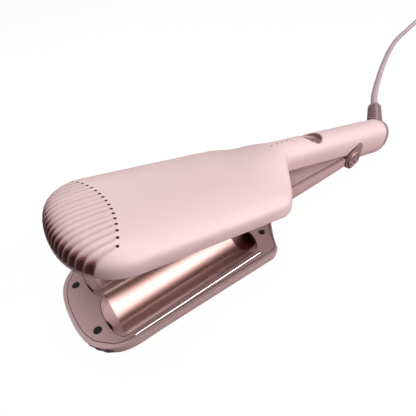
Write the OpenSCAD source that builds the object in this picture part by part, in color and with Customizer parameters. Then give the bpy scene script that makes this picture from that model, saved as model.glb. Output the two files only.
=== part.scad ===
/* [Head] */
// Width of the upper head
head_w = 93; // [84:1:104]
// Width of the lower head at its nose
lower_head_w = 82; // [80:1:100]
// Extra width that the lower head gains by its shoulders
lower_flare = 10; // [4:0.5:12]
// How far the lower jaw reaches past the tip of the upper one
lower_reach = 8; // [4:0.5:10]
// Length of the heads from the tip to the start of the shoulders
head_len = 134; // [124:1:150]
// Length of the rounded nose
nose_len = 35; // [30:1:40]
// Height of the upper head above the jaw plane
upper_head_h = 17; // [15:0.5:22]
// Depth of the lower head below the jaw plane
lower_head_h = 18; // [15:0.5:22]
// Number of cooling grooves round each nose
groove_count = 17; // [9:2:21]
// Distance from one groove to the next
groove_pitch = 4.5; // [3.6:0.1:4.8]
// Depth of the grooves
groove_depth = 1.2; // [0.4:0.1:1.4]
// Distance from the tip to the middle of the arc where the grooves end
groove_end_x = 33.2; // [26:0.2:34]

/* [Handle] */
// Length of the body from the tip to the end cap
body_len = 300; // [290:1:330]
// Length of the slope from the shoulders to the handle
neck_len = 36; // [30:1:44]
// Length over which the upper head narrows to the handle
shoulder_len = 31.5; // [28:0.5:34]
// Width of the handle
handle_w = 27; // [24:0.5:32]
// Top of the handle above the jaw plane
handle_top = 28; // [26:0.5:32]
// Bottom of the lower handle below the jaw plane
handle_bottom = 9; // [7:0.5:14]
// Height of the split between the handles at the neck
split_h = 10; // [8:0.5:11]
// Height of the split between the handles at the hinge
split_end_h = 8; // [7:0.5:9]
// Height of the barrel's centre line at the tail
barrel_z = 12; // [11:0.5:13]
// Depth of the barrel's underside below the jaw plane
barrel_bottom = 4; // [2:0.5:5]

/* [Walls] */
// Wall of the outer covers
wall = 2.2; // [1.6:0.1:2.6]
// Thickness of the inner frames
panel_t = 2.5; // [2:0.1:3]
// Gap between a frame and the cover round it
seat_gap = 0.3; // [0.2:0.05:0.4]
// Gap between the closed jaws
jaw_gap = 0.5; // [0.4:0.05:0.8]

/* [Plates] */
// Distance from the tip to the plates
plate_x = 16.6; // [16:0.1:20]
// Length of the plates
plate_len = 98.4; // [90:0.1:104]
// Width of one wave of the plates
wave_w = 36.4; // [33:0.1:38]
// Depth of the waves of the lower plate
wave_depth = 10; // [8:0.5:11]
// Thickness of the plate metal
sheet_t = 1.2; // [1:0.1:1.5]
// Room for hair between the closed waves
hair_gap = 1.1; // [0.8:0.1:1.6]
// Length of the scoops at the tip end of the plates
scoop_front = 7; // [5:0.5:9]
// Length of the scoops at the handle end of the plates
scoop_back = 11; // [8:0.5:13]
// Width of the polished edge rails
rail_w = 1.6; // [1:0.1:2]

/* [Hinge] */
// Distance from the tip to the hinge pin
pivot_x = 258; // [250:1:266]
// Height of the hinge pin above the jaw plane
pivot_z = 12; // [11:0.5:14]
// Angle between the arms at rest
open_angle = 13.2; // [10:0.5:16]
// Diameter of the hinge pin
pin_d = 4; // [3:0.1:5]
// Radial clearance of a turning fit
run_gap = 0.05; // [0.02:0.01:0.1]
// Radius of the round lock boss on the hinge ears
boss_r = 9; // [8:0.5:10]
// Radius of the ears round the pin
lobe_r = 4.6; // [4.2:0.1:5.2]
// Thickness of the hinge ears
ear_t = 3.8; // [3:0.1:4.5]
// Diameter of the lock knob
knob_d = 14.5; // [12:0.5:16]

/* [Controls] */
// Distance from the tip to the power button
button_x = 204; // [196:1:210]
// Diameter of the recess round the power button
recess_d = 19; // [17:0.5:21]
// Diameter of the power button
button_d = 12.6; // [11:0.2:14]
// Travel of the power button
button_travel = 0.8; // [0.4:0.1:1]
// Distance from the tip to the first indicator light
light_x = 160; // [156:1:170]
// Distance between the indicator lights
light_pitch = 5.2; // [4:0.2:6]
// Diameter of an indicator light
light_d = 1.5; // [1:0.1:2]

/* [Cord] */
// Diameter of the mains cord
cord_d = 7.3; // [6:0.1:8]
// Length of the end cap
cap_len = 8.8; // [7:0.2:11]
// Radius of the swivel ball in the end cap
ball_r = 7.5; // [6.5:0.1:8]
// Length of the strain relief from the ball's centre
relief_len = 60; // [44:1:64]
// Diameter of the strain relief at its root
relief_d = 15.2; // [13:0.1:16]
// Sideways lean of the strain relief from the body's axis
relief_yaw = 36; // [24:1:40]
// Upward lean of the strain relief from the body's axis
relief_pitch = 12; // [6:1:14]
// Diameter of a plug pin
plug_pin_d = 4; // [4:0.8:4.8]
// Distance between the plug pins
plug_pin_gap = 18.6; // [18:0.1:19.2]

/* [Hidden] */
$fn = 48;
SHELL = "#e9cfcf";
INNER = "#dcbcc0";
METAL = "#c9a196";
TAUPE = "#a98b8c";
STEEL = "#c8c8cc";
BLACK = "#1c1a1b";
WHITE = "#efe9e4";
head_power = 3;
handle_power = 2.3;
arch_z = 0.5;
hump_half = 34;
hump_len = 54;
barrel_x = pivot_x - 9.5;
lower_end_x = pivot_x - 15.7;
neck_x = head_len + neck_len;
LOWER = 1;
UPPER = 0;

// Smooth step from 0 at a to 1 at b
function ease(a, b, x) = let (s = min(1, max(0, (x - a) / (b - a)))) s * s * (3 - 2 * s);
function mix(a, b, s) = a + (b - a) * s;

// Height of the split between the arms, from the flat jaws up the ramp and along the handle
function split(x) =
    x < head_len ? 0 :
    x < neck_x ? split_h * (x - head_len) / neck_len :
    mix(split_h, split_end_h, (x - neck_x) / (lower_end_x - neck_x));

// Half width of each arm's outer outline behind the nose
function upper_half(x) =
    let (s = min(1, max(0, (x - head_len) / shoulder_len)))
    mix(handle_w, head_w, pow(1 - s * s, 1.35)) / 2;
function lower_half(x) =
    let (shoulder = head_len - 3, side = lower_head_w / 2 + lower_flare / 2 * min(1, x / shoulder))
    let (round = 2.5 * pow(max(0, min(1, (x - shoulder + 6) / 6)), 2))
    let (s = min(1, max(0, (x - shoulder) / (neck_len - 2))))
    mix(handle_w / 2 - 0.6, side - round, pow(1 - s, 2.2));
function half(arm, x) = arm == UPPER ? upper_half(x) : lower_half(x);
function nose_half(arm) = half(arm, nose_len);
function nose_power(arm) = arm == UPPER ? 2.33 : 2.7;
function nose_shift(arm) = arm == LOWER ? -lower_reach : 0;

// Heights are counted outward from the jaw plane, so the lower arm is built upside down
function edge(arm, x) = (arm == UPPER ? split(x) : -split(x)) + jaw_gap / 2;
function arch(arm, x) = mix(arch_z, arm == UPPER ? barrel_z : -split_h / 2, ease(head_len + 4, neck_x, x));
function ridge(arm, x) = arm == UPPER ? (handle_top - upper_head_h) * ease(neck_x - hump_len, neck_x, x) : 0;
function crown(arm, x) =
    arm == UPPER ? upper_head_h + ridge(arm, x) * ease(head_len + 6, neck_x, x) :
    mix(lower_head_h, handle_bottom - 2 * max(0, (x - neck_x) / (lower_end_x - neck_x)),
        ease(head_len - 6, neck_x, x));
function hump(arm, x, y) =
    let (left = ridge(arm, x) * (1 - ease(head_len + 6, neck_x, x)))
    left * pow(max(0, 1 - pow(y / hump_half, 2)), 2);
function curve_power(x) = mix(head_power, handle_power, ease(head_len, neck_x, x));

// Fractions of the half width where lines run along the body: fine ones follow the grooves
groove_edge = groove_count * groove_pitch / 2;
function side_steps(edge_t) = [0.9995, mix(edge_t, 0.9995, 0.93), mix(edge_t, 0.9995, 0.76), mix(edge_t, 0.9995, 0.45)];
function groove_steps(w) = [
    for (i = [0:groove_count - 1], s = [0, 0.28, 0.5, 0.72]) (-groove_edge + (i + s) * groove_pitch) / w
];
function fine_steps(w) = concat(
    -side_steps(groove_edge / w), groove_steps(w), [groove_edge / w],
    [for (i = [3:-1:0]) side_steps(groove_edge / w)[i]]
);
function is_groove(k) = k > 4 && k < 4 + 4 * groove_count && (k - 4) % 4 == 2;

// Angles, 0 at the rim and up to 90 on the crown, of the rows of points on one line of a nose.
// A groove starts just above the rim and ends on an arc across the top.
function groove_end(y) = min(nose_len - 1, groove_end_x - y * y / 150);
function nose_angle(arm, t, x) =
    let (a = (nose_len - x) / nose_len, p = nose_power(arm))
    acos(pow(min(1, pow(pow(a, p) + pow(abs(t), p), 1 / p)), head_power / 2));
function top_angle(t) = acos(pow(abs(t), head_power / 2));
function fine_angles(arm, t, w) =
    let (top = top_angle(t), inside = abs(t) <= groove_edge / w + 0.001)
    let (first = min(5, 0.1 * top), low = min(8, 0.2 * top))
    let (last = inside ? nose_angle(arm, t, groove_end(t * w)) : 0.92 * top)
    let (high = inside ? nose_angle(arm, t, groove_end(t * w) - 1.2) : 0.84 * top)
    concat([0, first, low], [for (s = [0.18:0.18:0.95]) mix(low, high, s)], [high, last, top]);
function coarse_angles(t) = [for (s = [0, 0.03, 0.12, 0.3, 0.55, 0.8, 1]) s * top_angle(t)];

// A point of the nose, pushed inward along the surface's slope by dent
function nose_point(arm, t, angle, inset, dent) =
    let (w = nose_half(arm) - inset, len = nose_len - inset, h = crown(arm, nose_len) - inset - arch_z)
    let (r = pow(cos(angle), 2 / head_power), up = pow(sin(angle), 2 / head_power))
    let (p = nose_power(arm), a = pow(max(0, pow(r, p) - pow(abs(t), p)), 1 / p))
    let (nx = -pow(r, head_power - p) * pow(a, p - 1) / len, nz = pow(up, head_power - 1) / h)
    let (n = max(0.0001, norm([nx, nz])))
    [nose_shift(arm) + nose_len - a * len - dent * nx / n, t * w, arch_z + up * h - dent * nz / n];

function nose_rows(arm, steps, inset, floor_z) =
    let (w = nose_half(arm), rows = inset > 0 ? len(coarse_angles(0)) : len(fine_angles(arm, 0, w)))
    concat(
        [[for (t = steps) let (p = nose_point(arm, t, 0, inset, 0)) [p.x, p.y, floor_z]]],
        [for (r = [0:rows - 1]) [
            for (k = [0:len(steps) - 1])
                let (t = steps[k], angle = inset > 0 ? coarse_angles(t)[r] : fine_angles(arm, t, w)[r])
                let (dent = inset == 0 && is_groove(k) && r > 1 && r < rows - 2 ? groove_depth : 0)
                nose_point(arm, t, angle, inset, dent)
        ]]
    );

// A ring of points round the body at x: over the crown, then back along the open edge or the round underside
UNDER = [0.9995, 0.96, 0.84, 0.62, 0.32, 0, -0.32, -0.62, -0.84, -0.96, -0.9995];
function bulge(t, p) = min(1, 1.004 * pow(max(0, 1 - pow(abs(t), p)), 1 / p));
function ring(arm, x, steps, inset, round) =
    let (w = half(arm, x) - inset, p = curve_power(x), base = arch(arm, x), top = crown(arm, x) - inset)
    let (low = barrel_bottom - inset + base)
    concat(
        [for (t = steps) [x, t * w, base + (top - base) * bulge(t, p) + hump(arm, x, t * w)]],
        [for (t = UNDER) [x, t * w, round ? base - low * bulge(t, p) - 0.01 : edge(arm, x) - (inset > 0 ? 2 : 0)]]
    );

// One closed skin: rows over the nose, a stitch from fine to coarse lines, rings along the body and an end
function pick(list, keys) = [for (k = keys) list[k]];
function stitch_keys() = concat(
    [for (i = [0:4]) i], [for (m = [1:7]) 4 + floor(4 * groove_count * m / 8 + 0.5)],
    [for (i = [4:-1:0]) 4 * groove_count + 8 - i]
);
function coarse_steps(arm) = pick(fine_steps(nose_half(arm)), stitch_keys());
module skin(rows, keys, rings) {
    nf = len(rows[0]);
    nr = len(rings[0]);
    nc = len(keys);
    last = len(rows) - 1;
    at = len(rows) * nf;
    points = concat([for (r = rows) each r], [for (r = rings) each r]);
    faces = concat(
        [for (r = [0:last - 1], k = [0:nf - 2]) each [
            [r * nf + k, r * nf + k + 1, (r + 1) * nf + k + 1],
            [r * nf + k, (r + 1) * nf + k + 1, (r + 1) * nf + k]
        ]],
        [for (j = [0:nc - 2], k = [keys[j]:keys[j + 1] - 1]) [last * nf + k, last * nf + k + 1, at + j]],
        [for (j = [0:nc - 2]) [last * nf + keys[j + 1], at + j + 1, at + j]],
        [for (r = [0:last - 1]) [at + nr - 1, r * nf, (r + 1) * nf]],
        [[at + nr - 1, last * nf, at]],
        [for (r = [0:last - 1]) [at + nc, (r + 2) * nf - 1, (r + 1) * nf - 1]],
        [[at + nc, at + nc - 1, (last + 1) * nf - 1]],
        [concat([for (k = [nf - 1:-1:0]) k], [for (j = [nr - 1:-1:nc]) at + j])],
        [for (i = [0:len(rings) - 2], j = [0:nr - 1]) let (a = at + i * nr, b = a + nr, n = (j + 1) % nr) each [
            [a + j, a + n, b + n],
            [a + j, b + n, b + j]
        ]],
        [[for (j = [0:nr - 1]) at + (len(rings) - 1) * nr + j]]
    );
    polyhedron(points = points, faces = faces, convexity = 8);
}

function body_stops() = concat(
    [for (d = [6, 30, 55]) nose_len + d], [for (d = [24, 14, 9, 6, 4.5, 3, 1.5]) head_len - d],
    [for (i = [0:9]) head_len + i * neck_len / 9], [for (d = [8, 20, 45]) neck_x + d]
);

module arm_body(arm, inset) {
    coarse = coarse_steps(arm);
    steps = inset > 0 ? coarse : fine_steps(nose_half(arm));
    keys = inset > 0 ? [for (k = [0:len(coarse) - 1]) k] : stitch_keys();
    rows = nose_rows(arm, steps, inset, edge(arm, 0) - (inset > 0 ? 2 : 0));
    flat = [for (x = body_stops()) ring(arm, x, coarse, inset, false)];
    front = inset > 0 ? barrel_x + wall : barrel_x;
    tail = arm == LOWER ? [ring(arm, lower_end_x - inset, coarse, inset, false)] : concat(
        [ring(arm, front, coarse, inset, false)],
        [for (x = [front + 0.01, mix(front, body_len, 0.5), body_len + (inset > 0 ? 1 : 0)])
            ring(arm, x, coarse, inset, true)]
    );
    skin(rows, keys, concat(flat, tail));
}

// One closed solid through rings that have the same number of points
module loft(rings) {
    n = len(rings[0]);
    last = len(rings) - 1;
    faces = concat(
        [[for (j = [n - 1:-1:0]) j]],
        [for (i = [0:last - 1], j = [0:n - 1]) let (a = i * n, b = a + n, k = (j + 1) % n) each [
            [a + j, a + k, b + k],
            [a + j, b + k, b + j]
        ]],
        [[for (j = [0:n - 1]) last * n + j]]
    );
    polyhedron(points = [for (r = rings) each r], faces = faces, convexity = 6);
}

// A round tube along a path. The direction up is never along the path.
function unit(v) = v / norm(v);
function heading(path, i) = unit(path[min(i + 1, len(path) - 1)] - path[max(i - 1, 0)]);
module tube(path, r, sides, up) {
    loft([
        for (i = [0:len(path) - 1])
            let (t = heading(path, i), side = unit(cross(up, t)), top = cross(t, side))
            [for (k = [0:sides - 1]) let (a = -360 * k / sides) path[i] + r * (cos(a) * side + sin(a) * top)]
    ]);
}

// Flat shapes: along_y stands an (x, z) outline on its edge, along_x a (y, z) outline
module along_y(y0, y1) { translate([0, y1, 0]) rotate([90, 0, 0]) linear_extrude(y1 - y0) children(); }
module along_x(x0, x1) { translate([x0, 0, 0]) rotate([90, 0, 90]) linear_extrude(x1 - x0) children(); }
module box(low, high) { translate(low) cube(high - low); }
module post(x, y, z0, z1, r) { translate([x, y, z0]) cylinder(h = z1 - z0, r = r, $fn = 32); }
module mirrored_y() { children(); mirror([0, 1, 0]) children(); }

// Both arms are drawn closed round the jaw plane. The lower one is drawn upside down, then turned over.
// The object lies on its lower arm, with the upper arm opened at the hinge.
rest_x = 80;
module upper_side() {
    translate([pivot_x - rest_x, 0, pivot_z + lower_head_h]) rotate([0, open_angle, 0])
        translate([-pivot_x, 0, -pivot_z]) children();
}
module lower_side() { translate([-rest_x, 0, lower_head_h]) children(); }
module turned_over() { mirror([0, 0, 1]) children(); }

// Screws sit by the tip of each jaw and just before its ramp
root_screw_x = head_len - 0.8;
function tip_screw_x(arm) = plate_x - (arm == UPPER ? 8.4 : 13.2);
function screw_spots(arm) = [
    for (x = [tip_screw_x(arm), root_screw_x], side = [1, -1]) [x, side * (x < nose_len ? 21.5 : 25)]
];
jaw_z = jaw_gap / 2;
screw_r = 1;
screw_head_r = 1.9;
boss_z = jaw_z + panel_t + 0.2;

// Recess and lights on the handle's top
function top_z(x) = crown(UPPER, x) + hump(UPPER, x, 0);
light_count = 5;

// Ear outline in (x, z): the round boss and the lobe round the pin, joined by their tangents
boss_x = pivot_x - 6.5;
boss_z0 = pivot_z - 8;
ear_y = handle_w / 2 - 3.1;
module ear_2d(grow) {
    from = [boss_x, boss_z0];
    to = [pivot_x, pivot_z];
    gap = norm(to - from);
    r1 = boss_r + grow;
    r2 = lobe_r + grow;
    turn = atan2(to.y - from.y, to.x - from.x);
    lean = acos((r1 - r2) / gap);
    translate(from) circle(r1);
    translate(to) circle(r2);
    polygon([
        for (a = [turn - lean, turn + lean]) from + r1 * [cos(a), sin(a)],
        for (a = [turn + lean, turn - lean]) to + r2 * [cos(a), sin(a)]
    ]);
}
module ear_path_2d(grow) {
    for (a = [0, open_angle / 2, open_angle])
        translate([pivot_x, pivot_z]) rotate(a) translate([-pivot_x, -pivot_z]) ear_2d(grow);
}

// A cover is the outer skin less the inner one, which keeps its screw bosses
module cover_shell(arm) {
    difference() {
        arm_body(arm, 0);
        difference() {
            arm_body(arm, wall);
            for (s = screw_spots(arm)) post(s.x, s.y, boss_z, 30, 2.6);
        }
        for (s = screw_spots(arm)) post(s.x, s.y, 0, boss_z + 5.6, screw_r + 0.05);
    }
}
spring_y = 4;
module upper_cover() {
    color(SHELL) upper_side() difference() {
        cover_shell(UPPER);
        post(button_x, 0, 18, 32, recess_d / 2);
        for (i = [0:light_count - 1]) post(light_x + i * light_pitch, 0, 18, 32, light_d / 2 + 0.1);
        mirrored_y() along_y(ear_y - 0.4, handle_w / 2 + 2.5) ear_path_2d(0.5);
        box([barrel_x - 1, -spring_y - 1.3, 0.5], [barrel_x + wall + 1, -spring_y + 1.3, 8]);
    }
}
module lower_cover() {
    color(SHELL) lower_side() difference() {
        turned_over() cover_shell(LOWER);
        mirrored_y() box([lower_end_x - wall - 1, ear_y - 3.8, 0.6], [lower_end_x + 1, ear_y - 0.8, 5.2]);
        box([lower_end_x - wall - 1, -spring_y - 1.3, 2], [lower_end_x + 1, -spring_y + 1.3, 7.5]);
    }
}

// Plates: one cosine wave from crest to crest, two of them side by side
function wave(y) = wave_depth / 2 * (1 - cos(360 * y / wave_w));
plate_end = plate_x + plate_len;
WAVE_STEPS = [for (i = [-20:20]) i * wave_w / 20];
upper_sheet_z = jaw_z - 0.5 + hair_gap;
module wave_slab(dir, low, high, x0, x1) {
    along_x(x0, x1) polygon(concat(
        [for (y = WAVE_STEPS) [y, dir * wave(y) + low]],
        [for (i = [len(WAVE_STEPS) - 1:-1:0]) [WAVE_STEPS[i], dir * wave(WAVE_STEPS[i]) + high]]
    ));
}
// The rounded end of the two troughs or lobes, from the wave down to nothing over a length
function roundness(y) = max(0.15, sqrt(max(0, 1 - pow(2 * abs(y) / wave_w - 1, 2))));
module wave_end(x0, length, dir, z0, cap) {
    rings = [for (y = WAVE_STEPS) concat(
        [for (a = [0:18:90]) [x0 + length * roundness(y) * sin(a), y, z0 + dir * max(0.12, wave(y)) * cos(a)]],
        [[x0 + length * roundness(y), y, cap], [x0, y, cap]]
    )];
    n = len(rings[0]);
    loft(length * dir < 0 ? rings : [for (r = rings) [for (i = [n - 1:-1:0]) r[i]]]);
}

// Frames close the open side of each cover
module frame_plan(arm) {
    inset = wall + seat_gap;
    p = nose_power(arm);
    nose = [for (t = coarse_steps(arm))
        [nose_shift(arm) + nose_len - (nose_len - inset) * pow(1 - pow(abs(t), p), 1 / p), t * (nose_half(arm) - inset)]];
    neck = [for (x = body_stops()) [x, half(arm, x) - inset - 0.5 * ease(head_len, head_len + 8, x)]];
    end = arm == UPPER ? lower_end_x - 1 : lower_end_x - inset;
    side = concat(neck, [[end, neck[len(neck) - 1].y]]);
    polygon(concat(nose, side, [for (i = [len(side) - 1:-1:0]) [side[i].x, -side[i].y]]));
}
module frame_side(arm, end) {
    keys = [-10, head_len, neck_x, end];
    along_y(-60, 60) polygon(concat(
        [for (x = keys) [x, edge(arm, x)]],
        [for (i = [3:-1:0]) [keys[i], edge(arm, keys[i]) + panel_t]]
    ));
}
module screw_holes(arm) {
    for (s = screw_spots(arm)) {
        post(s.x, s.y, -5, 5, screw_r + 0.15);
        post(s.x, s.y, -5, jaw_z + 1.7, screw_head_r + 0.1);
    }
}
module plate_window() { box([plate_x - 0.1, -wave_w - 0.1, -20], [plate_end + 0.1, wave_w + 0.1, 20]); }

cheek_y = ear_y - 3.2;
cheek_end = pivot_x + 9.5;
frame_end = pivot_x + 10;
board_z = 15.2;
board_half = handle_w / 2 - 4.5;
post_y = board_half - 3;
POSTS = [for (x = [light_x + 6, button_x + 28], y = [post_y, -post_y]) [x, y]];
module section_2d(inset) { polygon([for (p = ring(UPPER, body_len, coarse_steps(UPPER), inset, true)) [p.y, p.z]]); }
module upper_frame() {
    color(INNER) upper_side() {
        difference() {
            union() {
                intersection() {
                    translate([0, 0, -30]) linear_extrude(80) frame_plan(UPPER);
                    frame_side(UPPER, frame_end);
                }
                intersection() {
                    box([lower_end_x - 2, -ear_y + 0.6, 0], [frame_end, ear_y - 0.6, 20]);
                    frame_side(UPPER, frame_end);
                }
            }
            plate_window();
            screw_holes(UPPER);
            box([barrel_x - 4, -6.2, 0], [frame_end - 2, 6.2, 20]);
            mirrored_y() translate([pivot_x, 0, pivot_z]) rotate([-90, 0, 0]) cylinder(h = 20, r = pin_d / 2 + run_gap);
        }
        mirrored_y() box([plate_x + 6, wave_w - 2, jaw_z + 1.9], [plate_end - 6, wave_w + 0.6, jaw_z + 3]);
        wave_end(plate_x - 0.1, 1.2 - scoop_front, -1, upper_sheet_z, jaw_z + panel_t - 0.05);
        wave_end(plate_end + 0.1, scoop_back - 1.2, -1, upper_sheet_z, jaw_z + panel_t - 0.05);
        mirrored_y() difference() {
            intersection() {
                along_y(cheek_y, ear_y - 0.6) polygon([
                    [lower_end_x - 2, split(lower_end_x) + 0.6], [barrel_x + wall + 0.3, split(barrel_x) + 0.6],
                    [barrel_x + wall + 0.3, 0], [cheek_end, 0], [cheek_end, pivot_z + 8], [lower_end_x - 2, pivot_z + 4]
                ]);
                along_x(lower_end_x - 3, frame_end) section_2d(wall + seat_gap);
            }
            translate([pivot_x, 0, pivot_z]) rotate([-90, 0, 0]) cylinder(h = 20, r = pin_d / 2 + run_gap);
        }
        for (p = POSTS) {
            post(p.x, p.y, split(p.x) + 2, board_z, 2);
            post(p.x, p.y, board_z - 1, board_z + 2.4, 0.9);
        }
    }
}
module lower_frame() {
    color(INNER) lower_side() turned_over() {
        difference() {
            intersection() {
                translate([0, 0, -30]) linear_extrude(80) frame_plan(LOWER);
                union() {
                    frame_side(LOWER, lower_end_x);
                    intersection() {
                        wave_slab(1, 0, jaw_z + 1, plate_x - scoop_front - 0.8, plate_x - 0.1);
                        along_y(-60, 60) polygon([
                            [plate_x - scoop_front - 0.8, jaw_z], [plate_x, jaw_z], [plate_x, jaw_z + wave_depth + 2],
                            [plate_x - 4, jaw_z + wave_depth + 2], [plate_x - scoop_front - 0.8, jaw_z + 5]
                        ]);
                    }
                    wave_slab(1, jaw_z, jaw_z + 1.2, plate_end + 0.1, plate_end + scoop_back + 0.8);
                }
            }
            plate_window();
            wave_end(plate_x, -scoop_front, 1, jaw_z, -3);
            wave_end(plate_end, scoop_back, 1, jaw_z, -3);
            screw_holes(LOWER);
            mirrored_y() box([rail_x, rail_y - 0.05, -1], [rail_end, rail_y + rail_w + 0.05, jaw_z + 1.6]);
        }
        mirrored_y() box([plate_x + 6, wave_w - 2, jaw_z + 1.6], [plate_end - 6, wave_w + 0.6, jaw_z + 2.8]);
    }
}
rail_x = plate_x + 4.1;
rail_end = plate_end + 3.7;
rail_y = wave_w + 1.6;
module lower_edge_rails() {
    color(METAL) lower_side() turned_over() mirrored_y() {
        box([rail_x + 0.05, rail_y, 0.8], [rail_end - 0.05, rail_y + rail_w, jaw_z + 1.55]);
        translate([rail_x + 0.05, rail_y + rail_w / 2, 0.05 + rail_w / 2]) rotate([0, 90, 0])
            cylinder(h = rail_end - rail_x - 0.1, r = rail_w / 2, $fn = 24);
    }
}
module upper_plate() {
    color(METAL) upper_side() wave_slab(-1, upper_sheet_z, upper_sheet_z + sheet_t, plate_x, plate_end);
}
module lower_plate() {
    color(METAL) lower_side() turned_over() wave_slab(1, jaw_z, jaw_z + sheet_t, plate_x, plate_end);
}

// Heating: flat bars pressed on the back of the plates by sprung clamps, with a sensor beside each
heater_x = plate_x + 6.6;
heater_end = plate_end - 17.8;
heater_w = 8;
heater_t = 3;
bar_z = wave(wave_w / 2 - heater_w / 2) - upper_sheet_z - sheet_t;
module clamp(x0, x1, y, w, z) {
    difference() {
        box([x0, y - w / 2, z], [x1, y + w / 2, z + 1.2]);
        for (x = [x0 + 12:16:x1 - 10]) box([x, y - w / 2 + 2, z - 1], [x + 8, y + w / 2 - 2, z + 2]);
    }
}
module upper_heaters() {
    color(WHITE) upper_side() mirrored_y()
        box([heater_x, wave_w / 2 - heater_w / 2, -bar_z + 0.05], [heater_end, wave_w / 2 + heater_w / 2, -bar_z + heater_t]);
}
module upper_heater_clamps() {
    color(STEEL) upper_side() mirrored_y() {
        clamp(heater_x - 3, heater_end + 2, wave_w / 2, 15, -bar_z + heater_t + 0.05);
        for (x = [heater_x - 3, heater_end - 4]) box([x, wave_w / 2 - 7.5, -bar_z + heater_t + 0.6], [x + 6, wave_w / 2 + 7.5, 0.4]);
    }
}
sensor_x = heater_end + 3;
module upper_thermistor() {
    color(WHITE) upper_side() translate([sensor_x, wave_w / 2, upper_sheet_z - wave_depth + sheet_t + 1.25]) rotate([0, 90, 0])
        cylinder(h = 8, r = 1.2, $fn = 24);
}
module thermal_fuse() {
    color(STEEL) upper_side() translate([sensor_x, -wave_w / 2, upper_sheet_z - wave_depth + sheet_t + 1.8]) rotate([0, 90, 0]) {
        cylinder(h = 10, r = 1.75, $fn = 24);
        translate([0, 0, -1.5]) cylinder(h = 13, r = 0.4, $fn = 16);
    }
}
lower_bar_z = jaw_z + sheet_t + wave(heater_w / 2) + 0.05;
module lower_heater() {
    color(WHITE) lower_side() turned_over()
        box([heater_x, -heater_w / 2, lower_bar_z], [heater_end, heater_w / 2, lower_bar_z + heater_t]);
}
module lower_heater_clamp() {
    color(STEEL) lower_side() turned_over() {
        clamp(heater_x - 3, heater_end + 2, 0, 15.6, lower_bar_z + heater_t + 0.05);
        for (x = [nose_len + 4, heater_end - 4])
            box([x, -2.5, lower_bar_z + heater_t + 0.8], [x + 6, 2.5, lower_head_h - wall - 0.1]);
    }
}
module lower_thermistor() {
    color(WHITE) lower_side() turned_over() translate([sensor_x, 0, jaw_z + sheet_t + 1.25]) rotate([0, 90, 0])
        cylinder(h = 8, r = 1.2, $fn = 24);
}
module screws(arm) {
    color(BLACK) for (s = screw_spots(arm)) difference() {
        union() {
            post(s.x, s.y, jaw_z + 0.25, jaw_z + 1.6, screw_head_r);
            post(s.x, s.y, jaw_z + 1, boss_z + 5, screw_r);
        }
        for (a = [0, 90]) translate([s.x, s.y, jaw_z]) rotate(a) box([-1.3, -0.3, -0.1], [1.3, 0.3, 0.9]);
    }
}
module upper_screws() { upper_side() screws(UPPER); }
module lower_screws() { lower_side() turned_over() screws(LOWER); }

// Control board, switch and light guide in the upper handle
module control_board() {
    color("#3f6b4a") upper_side() difference() {
        box([light_x, -board_half, board_z + 0.05], [button_x + 34, board_half, board_z + 1.6]);
        for (p = POSTS) post(p.x, p.y, board_z - 1, board_z + 3, 1);
    }
    color(BLACK) upper_side() {
        box([button_x + 14, -4, board_z + 1.5], [button_x + 22, 4, board_z + 5.5]);
        box([button_x - 22, board_half - 6, board_z + 1.5], [button_x - 14, board_half - 1, board_z + 3.2]);
        post(button_x + 28, 0, board_z + 1.5, board_z + 8.5, 3);
    }
}
switch_z = board_z + 1.65;
module tact_switch() {
    color(BLACK) upper_side() {
        box([button_x - 3, -3, switch_z], [button_x + 3, 3, switch_z + 1.6]);
        post(button_x, 0, switch_z + 1, switch_z + 1.95, 1.6);
    }
}
module light_guide() {
    color(WHITE) upper_side() {
        box([light_x - 2, -2, board_z + 1.65], [light_x + light_pitch * (light_count - 1) + 2, 2, board_z + 4.5]);
        for (i = [0:light_count - 1])
            let (x = light_x + i * light_pitch) post(x, 0, board_z + 4, top_z(x) - 0.3, light_d / 2);
    }
}

// The button's bezel follows the handle's round top; the button slides in it on a flange
bezel_z = 21.5;
bezel_r = recess_d / 2 - 0.1;
module button_bezel() {
    color(INNER) upper_side() difference() {
        intersection() {
            post(button_x, 0, bezel_z, 30, bezel_r);
            along_x(button_x - 12, button_x + 12) section_2d(0.35);
        }
        translate([button_x, 0, bezel_z]) rotate_extrude($fn = 48) polygon([
            [0, -1], [button_d / 2 + run_gap, -1], [button_d / 2 + run_gap, 1.8], [button_d / 2 + run_gap + 1.05, 1.8],
            [bezel_r - 0.7, 3], [bezel_r - 0.7, 9], [0, 9]
        ]);
    }
}
module power_button() {
    r = button_d / 2;
    z = bezel_z - 0.1;
    color(INNER) upper_side() translate([button_x, 0, z]) rotate_extrude($fn = 48) polygon([
        [0, switch_z + 1.95 + button_travel + 0.05 - z], [2, switch_z + 1.95 + button_travel + 0.05 - z], [2, -1.5],
        [r + 1, -1.5], [r + 1, 0], [r, 0], [r, 3.2], [r - 0.6, 3.7], [r - 1.6, 3.7], [r - 2, 3.3], [0, 3]
    ]);
}

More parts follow.
